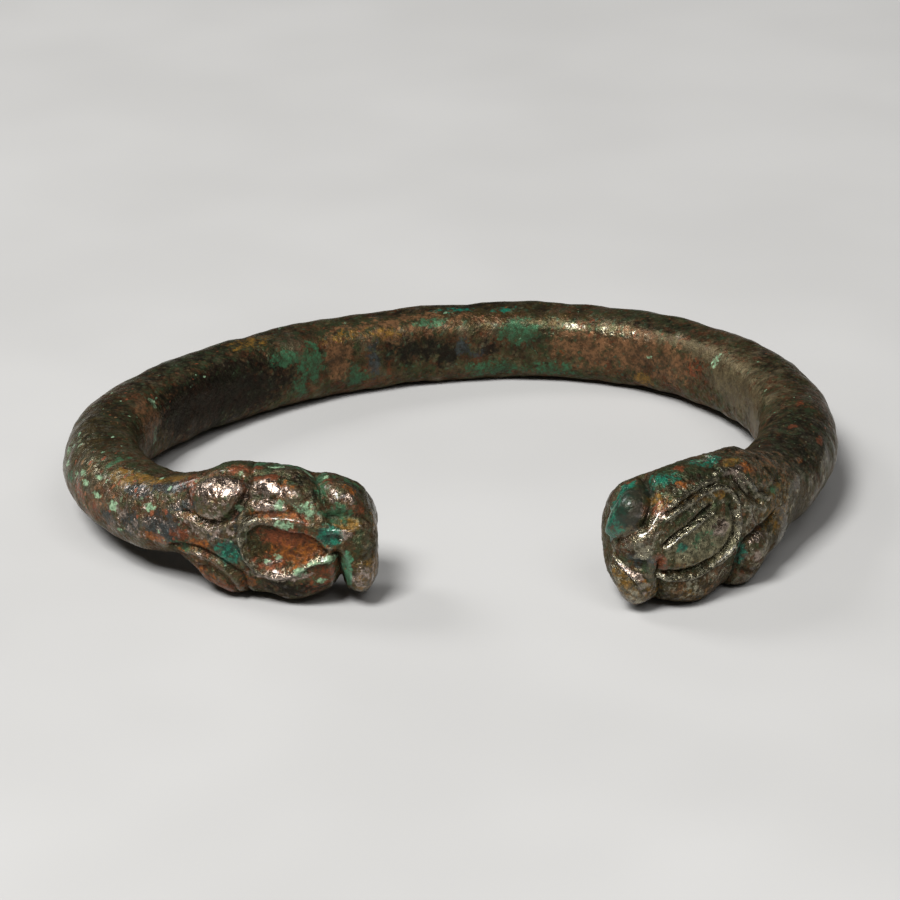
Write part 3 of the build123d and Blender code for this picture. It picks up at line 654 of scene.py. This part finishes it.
hoopDaubs = {
    # kind: distance along the route, angle, half length and half width in mm, strength
    # partly painted shade: the dark daub on the inner wall at the left (57 mm) is painted shade, and those
    # along the hoop's top (38 to 88 mm) are a painted dark reflection
    "dark": [(83, 170, 4.2, 1.6, 0.8), (86.8, -176, 1.2, 1.4, 0.9), (91.5, 176, 1.4, 1.2, 0.8),
        (112, 112, 10, 1.6, 0.55), (130, 92, 8, 2.4, 0.5), (57, 175, 11, 3.4, 1.15), (58, 92, 16, 2.4, 0.7),
        (38, 84, 8, 2.4, 0.8), (40, 108, 5, 1.5, 0.6), (88, 100, 14, 1.6, 0.7), (149, 66, 12, 5, 0.75)],
    "slate": [(78.2, 178, 0.7, 1.8, 1.1), (88.5, 172, 0.8, 0.9, 1.1), (90.4, -174, 0.7, 0.7, 0.9),
        (21.6, 47, 1.2, 0.7, 1.1), (18.4, 60, 2.2, 0.6, 1), (21.6, 2, 1.1, 1.5, 0.9),
        (18.4, 4, 1.5, 1.4, 1.1), (24.2, -4, 1, 1, 0.9)],
    # partly painted light: the pale daubs at 112 and 119 mm lay a painted highlight streak along the back's
    # top inner edge, and those at 127 and 134 mm lighten the inner wall on the right where light from the
    # left falls
    "pale": [(128, 120, 12, 1.2, 0.5), (112, 140, 4, 0.7, 0.9), (127, 160, 6, 2.4, 1.1),
        (134, 166, 4, 2, 1), (119, 139, 5, 1, 1), (125.1, 97, 0.7, 0.4, 1), (130.8, 95, 0.8, 0.5, 1),
        (136.3, 105, 0.7, 0.6, 1), (137.5, 130, 1.4, 0.8, 0.9)],
    "olive": [(150, 60, 20, 7, 0.35), (60, 100, 14, 3, 0.5), (36, 60, 9, 5, 0.5), (108, 96, 12, 2, 0.5),
        (79, 118, 6.5, 1.2, 0.9)],
    "umber": [(37, 62, 9, 3, 0.7), (90, 116, 14, 1.8, 0.6)],
    "russet": [(82, 128, 9, 1.6, 0.7), (73.9, 166, 1.5, 2.2, 1.3), (103, 176, 4, 1.8, 0.9),
        (109.5, 170, 4, 2.2, 1.1), (114.5, 171, 3.4, 2, 1), (43.5, 157, 3, 2, 1), (27, 8, 4, 2.4, 0.5),
        (158, 60, 4, 3, 0.5)],
    "red": [(28.6, 8, 0.9, 0.6, 0.9), (26, 0, 0.7, 0.5, 0.9), (118.5, 166, 1.6, 1.2, 0.6),
        (140.2, 89, 0.5, 0.4, 1.2), (146.4, 91, 0.6, 0.5, 1.2), (146.8, 45, 0.6, 0.4, 1)],
    "orange": [(99.9, -177, 0.3, 0.3, 1.4), (152.3, 49, 0.5, 0.4, 1), (19.2, -14, 1.4, 0.6, 1),
        (16.9, -20, 1.2, 0.5, 0.9)],
    "ochre": [(64.5, 102, 2.8, 1.2, 0.7), (75, 134, 3, 0.7, 0.55), (80, 140, 2.2, 0.6, 0.5),
        (110.5, -148, 1.4, 0.7, 0.9), (24.3, 62, 1.3, 0.9, 1.8), (21.8, 70, 1.8, 0.6, 1.1),
        (18.8, 81, 1.2, 0.6, 1)],
    # the first two lustre daubs, at 101.4 and 107.5 mm, are a painted highlight streak along the back's top
    # inner edge
    "lustre": [(101.4, 141, 1, 0.4, 0.9), (107.5, 141, 3.6, 0.6, 0.4), (30, 60, 8, 4, 0.3),
        (155, 30, 9, 5, 0.3)],
    "bare": [(21, 20, 5, 3, 0.35), (16.5, 34, 2, 2.2, 0.4)],
    "teal": [(88, 108, 2.2, 0.6, 0.7), (93.5, 115, 2, 0.6, 0.6)],
    "green": [(31.5, 14, 0.8, 0.5, 0.9), (70.4, 166, 1.6, 1.9, 1.15), (67.2, 150, 1.7, 0.7, 1.1),
        (69, -165, 0.9, 1.4, 0.9), (76, -158, 1.3, 1, 1.1), (85, 131, 1.8, 0.5, 1.1),
        (95.2, 152, 2.4, 1.3, 1.1), (92, -149, 3.6, 0.8, 0.9), (99, -150, 2.8, 0.8, 0.9),
        (26.8, 81, 0.4, 1.3, 1.3)],
    "mint": [(29, 34, 0.5, 0.3, 1.1), (26.6, 44, 0.5, 0.25, 1), (33, 22, 0.5, 0.3, 1.1),
        (111.2, 172, 0.2, 0.2, 1.4), (121.9, 143, 0.3, 0.7, 1.2), (23.6, 16, 0.48, 0.48, 1.3),
        (19.8, 30, 0.4, 0.4, 1.3), (30.2, 25, 0.45, 0.28, 1.1), (27.9, 26, 0.45, 0.28, 1.1),
        (25.9, 20, 0.55, 0.28, 1.1), (34.7, 30, 0.6, 0.4, 1), (22.9, -18, 0.3, 0.25, 1),
        (44.9, -177, 0.35, 0.8, 1.1), (46.3, 137, 0.25, 0.5, 1.1), (49.5, 170, 0.22, 0.35, 1),
        (53.5, 143, 0.18, 0.16, 1.3), (54.2, 147, 0.18, 0.16, 1.3), (54.9, 150, 0.18, 0.16, 1.3)],
    "specks": [(27, 20, 16, 7, 1.15), (10, 0, 22, 20, 0.45), (46, 110, 16, 5, 0.8), (90, 115, 34, 4, 0.65),
        (140, 70, 22, 6, 0.65), (165, 0, 24, 20, 0.45)],
}


daubing = {
    "softness": 0.5,            # how steeply a daub fades from its middle
    "ridgeFrom": 0.2,           # ridges higher than this are rubbed bright
    "ridgeStrength": 1.1,
    "ridgeSpread": 1.5,         # in half widths of the ridge
    "ruggedTo": 1.9,            # the rough skin of the heads ends this many head lengths from the end face
    "hoopRuggedness": 0.25,
    "speckRuggedness": 0.3,     # added where the hoop is specked
    "polishing": 0.8,           # taken off where the heads are polished
}


def paintLayer(casting, name, values):
    layer = casting.data.attributes.new(name, "FLOAT", "POINT")
    layer.data.foreach_set("value", values)


def paintDaubs(casting, distance, angle):
    hoopArm = np.radians(1) * hoop["outward"]
    layers = {kind: np.zeros(len(distance)) for kind in [*patinas, "specks"]}
    fromHeads = np.minimum(distance / leftHead["length"], (routeLength - distance) / rightHead["length"])
    places = [(kind, station * leftHead["length"], *rest, degreeArm)
              for kind, daubs in leftDaubs.items() for station, *rest in daubs]
    places += [(kind, routeLength - station * rightHead["length"], *rest, degreeArm)
               for kind, daubs in rightDaubs.items() for station, *rest in daubs]
    places += [(kind, *daub, hoopArm) for kind, daubs in hoopDaubs.items() for daub in daubs]
    for kind, along, around, halfLength, halfWidth, strength, arm in places:
        turned = (angle - around + 180) % 360 - 180
        reach = np.hypot((distance - along) / halfLength, turned * arm / halfWidth)
        fade = np.clip(1 - reach ** 2 * daubing["softness"], 0, 1)
        layers[kind] = np.maximum(layers[kind], strength * fade)
    for head, fromEnd in fromEnds(distance):
        here = fromEnd < neckEnd(head)
        for _, halfWidth, rise, points in head["lines"]:
            if rise > daubing["ridgeFrom"]:
                curve = headCurve(points, head)
                gap = gapToCurve(fromEnd[here], angle[here] * degreeArm, curve) / halfWidth
                rubbed = daubing["ridgeStrength"] * bump(gap / daubing["ridgeSpread"])
                layers["lustre"][here] = np.maximum(layers["lustre"][here], rubbed)
    headness = np.clip(daubing["ruggedTo"] - fromHeads, daubing["hoopRuggedness"], 1)
    rugged = np.clip(headness + layers["specks"] * daubing["speckRuggedness"], 0, 1)
    layers["rugged"] = rugged * (1 - daubing["polishing"] * polish(distance, angle))
    for kind, values in layers.items():
        paintLayer(casting, kind, values)


def paintRelief(casting, steps=14):      # how far each vertex stands over its smoothed surroundings
    places = readVectors(casting.data) / mm
    edges = np.zeros(len(casting.data.edges) * 2, int)
    casting.data.edges.foreach_get("vertices", edges)
    a, b = edges.reshape(-1, 2).T
    count = np.bincount(np.concatenate([a, b]), minlength=len(places))[:, None]
    smooth = places.copy()
    for _ in range(steps):
        total = np.zeros_like(smooth)
        for axis in range(3):
            total[:, axis] = (np.bincount(a, smooth[b, axis], len(places))
                              + np.bincount(b, smooth[a, axis], len(places)))
        smooth = (smooth + total / count) / 2
    raised = ((places - smooth) * readVectors(casting.data, "normal")).sum(1)
    paintLayer(casting, "raised", raised)


paintDaubs(casting, distance, angle)
paintRelief(casting)
print("patina daubed")


class Signal:                    # a socket, so that shader maths reads as maths
    def __init__(self, shop, socket):
        self.shop = shop
        self.socket = socket

    def math(self, operation, a, b=0.0):
        return self.shop.node("ShaderNodeMath", {"operation": operation}, {0: a, 1: b})

    def __add__(self, other):
        return self.math("ADD", self, other)

    def __sub__(self, other):
        return self.math("SUBTRACT", self, other)

    def __mul__(self, other):
        return self.math("MULTIPLY", self, other)

    def __rsub__(self, other):
        return self.math("SUBTRACT", other, self)

    __radd__ = __add__
    __rmul__ = __mul__

    def between(self, low, high, first=0.0, last=1.0):
        return self.shop.node("ShaderNodeMapRange", {"interpolation_type": "SMOOTHSTEP"},
                              {"Value": self, "From Min": low, "From Max": high,
                               "To Min": first, "To Max": last})


class Shop:                      # one material's node tree
    def __init__(self, name):
        self.material = bpy.data.materials.new(name)
        self.material.use_nodes = True
        self.tree = self.material.node_tree
        self.shader = self.tree.nodes["Principled BSDF"]

    def node(self, kind, settings=None, values=None, output=0):
        made = self.tree.nodes.new(kind)
        for name, value in (settings or {}).items():
            if name == "stops":
                while len(made.color_ramp.elements) < len(value):
                    made.color_ramp.elements.new(0.5)
                for element, (place, colour) in zip(made.color_ramp.elements, value):
                    element.position = place
                    element.color = (*colour, 1)
            else:
                setattr(made, name, value)
        for name, value in (values or {}).items():
            self.feed(made.inputs[name], value)
        return Signal(self, made.outputs[output])

    def feed(self, socket, value):
        if isinstance(value, Signal):
            self.tree.links.new(value.socket, socket)
        elif socket.type == "RGBA" and len(value) == 3:
            socket.default_value = (*value, 1)
        else:
            socket.default_value = value

    def place(self, shift=0.0):      # Object coordinates in millimetres
        coordinates = self.node("ShaderNodeTexCoord", output="Object")
        return self.node("ShaderNodeMapping", {}, {"Vector": coordinates, "Scale": (1 / mm, 1 / mm, 1 / mm),
                                                   "Location": (shift, shift * 1.7, -shift)})

    def noise(self, place, size, detail=3.0, roughness=0.55, distortion=0.0):
        return self.node("ShaderNodeTexNoise", {}, {"Vector": place, "Scale": 1 / size, "Detail": detail,
                                                    "Roughness": roughness, "Distortion": distortion})

    def cells(self, place, size, output="Distance"):
        return self.node("ShaderNodeTexVoronoi", {}, {"Vector": place, "Scale": 1 / size}, output)

    def painted(self, name):
        return self.node("ShaderNodeAttribute", {"attribute_name": name}, output="Fac")

    def ramp(self, stops, value):
        return self.node("ShaderNodeValToRGB", {"stops": stops}, {0: value})

    def channel(self, colour, name):
        return self.node("ShaderNodeSeparateColor", {}, {0: colour}, name)

    def mix(self, factor, a, b):
        return self.node("ShaderNodeMix", {"data_type": "RGBA"}, {0: factor, 6: a, 7: b}, 2)

    def finish(self, **values):
        for name, value in values.items():
            self.feed(self.shader.inputs[name.replace("_", " ")], value)
        return self.material


noises = {
    # name: size in mm, detail, roughness, distortion, shift of the pattern in mm
    "broad": (5.0, 4.0, 0.6, 0.0, 0.0),
    "blotch": (1.3, 6.0, 0.72, 0.3, 31.0),
    "fleck": (0.42, 4.0, 0.7, 0.0, 57.0),
    "grain": (0.28, 3.0, 0.6, 0.0, 83.0),
    "crust": (0.85, 3.0, 0.6, 0.0, 11.0),
}
ramps = {
    # name: where each colour stands on the pattern's value
    "ground": [(0.36, (0.010, 0.008, 0.006)), (0.45, (0.038, 0.026, 0.013)),
               (0.54, (0.078, 0.054, 0.026)), (0.64, (0.140, 0.106, 0.056))],
    "tint": [(0.39, (0.120, 0.034, 0.013)), (0.49, (0.052, 0.036, 0.016)), (0.60, (0.036, 0.062, 0.024))],
    "grit": [(0.20, (0.008, 0.007, 0.006)), (0.40, (0.030, 0.021, 0.013)), (0.52, (0.130, 0.042, 0.020)),
             (0.64, (0.110, 0.088, 0.045)), (0.80, (0.050, 0.100, 0.062))],
    "specks": [(0.30, (0.180, 0.050, 0.022)), (0.48, (0.200, 0.085, 0.030)), (0.60, (0.180, 0.145, 0.080)),
               (0.74, (0.050, 0.115, 0.064)), (0.90, (0.240, 0.370, 0.230))],
}
bronze = {
    "gritSize": 0.46,           # mm, as are the next two
    "speckSize": 0.62,
    "waveSize": 0.5,
    # painted shade: the recess mask darkens hollows towards a near-black colour
    "hollow": (0.01, -0.14),    # mm over the surroundings, from none of it to all of it
    "crest": (0.0, 0.10),
    "hollowShadeColour": (0.007, 0.006, 0.005),
    "crestColour": (0.250, 0.205, 0.135),
    "hollowShadeShow": 0.65,         # how far each covers what is under it
    "crestShow": 0.35,
    "gritShow": 0.55,
    "speckShow": 0.9,
    "glossy": {"bare": 0.7, "lustre": 0.3, "teal": 0.2},      # coat on a kind of patina
    "raggedness": 3.0,          # how far mottling and grit break up a daub
    "gritty": 0.6,
    "daubEdge": (0.36, 0.92),   # a daub's value, from its edge to full cover
    "daubReach": (0.02, 0.30),  # keeps mottling off where nothing is painted
    "cover": 0.88,              # of the colour, roughness and metal under a daub
    "roughCover": 0.8,
    "metalCover": 0.85,
    "bumps": [
        # pattern, strength, depth in mm
        ("crust", 0.9, 0.36),
        ("grit", 0.6, 0.11),
        ("fleck", 0.8, 0.12),
        ("grain", 0.6, 0.06),
    ],
}


def bronzeSkin():
    shop = Shop("castBronze")
    broad, blotch, fleck, grain, crust = [shop.noise(shop.place(shift), *kind)
                                          for *kind, shift in noises.values()]
    place = shop.place()
    wave = shop.noise(place, bronze["waveSize"])
    wavy = shop.node("ShaderNodeVectorMath", {"operation": "ADD"}, {0: place, 1: wave})
    grit = shop.cells(wavy, bronze["gritSize"])
    gritKind = shop.cells(wavy, bronze["gritSize"], "Color")
    raised = shop.painted("raised")
    rugged = shop.painted("rugged")
    hollow = raised.between(*bronze["hollow"])
    crest = raised.between(*bronze["crest"])

    # the ground under the daubs
    tint = shop.ramp(ramps["tint"], broad * 0.35 + crust * 0.65)
    colour = shop.ramp(ramps["ground"], blotch * 0.75 + fleck * 0.25)
    colour = shop.mix(grain.between(0.35, 0.65, 0.2, 0.8), colour, tint)
    gritMask = grit.between(0.55, 0.20) * bronze["gritShow"]
    colour = shop.mix(gritMask, colour, shop.ramp(ramps["grit"], gritKind))
    worn = crest * grain.between(0.30, 0.60, 0.3, 0.9)
    colour = shop.mix(worn * bronze["crestShow"], colour, bronze["crestColour"])
    rough = fleck.between(0.35, 0.65, 0.24, 0.42) - worn * 0.10 + rugged.between(1.0, 0.25) * 0.10
    metal = fleck.between(0.40, 0.60, 0.35, 0.75) + worn * 0.2
    gloss = crest.between(0.15, 0.8, 0.0, 0.6) * rugged

    for number, (kind, (thin, full, roughness, metallic, ragged, size)) in enumerate(patinas.items()):
        mottle = shop.noise(shop.place(7.0 + 13.0 * number), size, 6.0, 0.75)
        painted = shop.painted(kind)
        daub = painted + (mottle - 0.5) * ragged * bronze["raggedness"] + (grit - 0.4) * bronze["gritty"]
        mask = daub.between(*bronze["daubEdge"]) * painted.between(*bronze["daubReach"])
        skin = shop.mix((mottle * 0.4 + fleck * 0.6).between(0.42, 0.60), thin, full)
        colour = shop.mix(mask * bronze["cover"], colour, skin)
        rough = rough + mask * (roughness - rough) * bronze["roughCover"]
        metal = metal + mask * (metallic - metal) * bronze["metalCover"]
        if kind in bronze["glossy"]:
            gloss = gloss + mask * bronze["glossy"][kind]

    # small specks of every colour, more of them where they are painted thicker
    speckGap = shop.cells(wavy, bronze["speckSize"])
    speckKind = shop.cells(wavy, bronze["speckSize"], "Color")
    speckReach = (shop.channel(speckKind, "Red") + shop.painted("specks") * 0.45 - 0.96) * 0.9
    speck = (speckReach - speckGap).between(-0.02, 0.06)
    speckColour = shop.ramp(ramps["specks"], shop.channel(speckKind, "Blue"))
    colour = shop.mix(speck * bronze["speckShow"], colour, speckColour)
    metal = metal * (1 - speck * 0.8)
    # painted shade, darkening the recesses
    colour = shop.mix(hollow * bronze["hollowShadeShow"], colour, bronze["hollowShadeColour"])
    gloss = gloss * (1 - hollow)

    heights = {"crust": crust * (0.45 + rugged * 0.55), "grit": grit * rugged, "fleck": fleck * rugged,
               "grain": grain * rugged}
    under = {}
    for pattern, strength, depth in bronze["bumps"]:
        values = {"Strength": strength, "Distance": depth * mm, "Height": heights[pattern], **under}
        normal = shop.node("ShaderNodeBump", {"invert": pattern == "grit"}, values)
        under = {"Normal": normal}
    return shop.finish(Base_Color=colour, Roughness=rough, Metallic=metal, Normal=normal, Coat_Weight=gloss,
                       Coat_Roughness=0.13, Specular_IOR_Level=0.35, Specular_Tint=(0.55, 0.50, 0.42, 1))


def floorSkin():
    shop = Shop("paleFloor")
    tone = shop.noise(shop.place(), 40.0, 2.0)
    colour = shop.mix(tone.between(0.3, 0.7), (0.42, 0.415, 0.405), (0.45, 0.445, 0.435))
    return shop.finish(Base_Color=colour, Roughness=0.85)


def dress(piece, material):
    piece.data.materials.clear()
    piece.data.materials.append(material)


dress(casting, bronzeSkin())
print("bronze skin made")

# Camera, where the photograph was taken from
camera = {
    "azimuth": 8.0,
    "elevation": 23.43,
    "distance": 387.35,         # from the middle of the bracelet before it tips back
    "middle": (0.0, 0.040, 4.909),
    "aside": -0.126,            # moved across and up from there, square to the view
    "raised": -1.094,
    "lens": 160.0,
}


def addCamera():
    az, el = math.radians(camera["azimuth"]), math.radians(camera["elevation"])
    ahead = np.array([math.sin(az) * math.cos(el), math.cos(az) * math.cos(el), -math.sin(el)])
    right = np.array([math.cos(az), -math.sin(az), 0])
    upward = np.cross(right, ahead)
    place = np.array(camera["middle"]) + right * camera["aside"] + upward * camera["raised"]
    place = place - ahead * camera["distance"]
    bpy.ops.object.camera_add(location=place * mm, rotation=(math.pi / 2 - el, 0, -az))
    bpy.context.object.data.lens = camera["lens"]
    bpy.context.scene.camera = bpy.context.object


def addStage(size=3):            # metres
    bpy.ops.mesh.primitive_plane_add(size=size, location=(0, 0, 0))
    floor = bpy.context.object
    floor.name = "floor"
    return floor


air = {"colour": (1.0, 0.97, 0.93, 1), "strength": 0.07}
lights = [
    # name, direction from the bracelet, distance and size in metres, power in watts
    ("keySoftbox", (-0.36, -0.44, 0.82), 1.1, 0.40, 16.5),
    ("backStrip", (-0.62, 0.44, 0.65), 1.1, 0.36, 4.0),
    ("frontSoftbox", (0.22, -0.57, 0.78), 1.2, 0.60, 4.0),
]


def addLights():
    for name, direction, distance, size, power in lights:
        aim = Vector(direction).normalized()
        bpy.ops.object.light_add(type="AREA", location=aim * distance,
                                 rotation=aim.to_track_quat("Z", "Y").to_euler())
        lamp = bpy.context.object
        lamp.name = name
        lamp.data.energy = power
        lamp.data.size = size
    world = bpy.context.scene.world or bpy.data.worlds.new("studio")
    bpy.context.scene.world = world
    world.use_nodes = True
    sockets = world.node_tree.nodes["Background"].inputs
    sockets["Color"].default_value = air["colour"]
    sockets["Strength"].default_value = air["strength"]


addCamera()
dress(addStage(), floorSkin())
addLights()
bpy.context.scene.view_settings.view_transform = "Standard"
print("studio set")

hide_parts("bracelet")
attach(casting, "root")
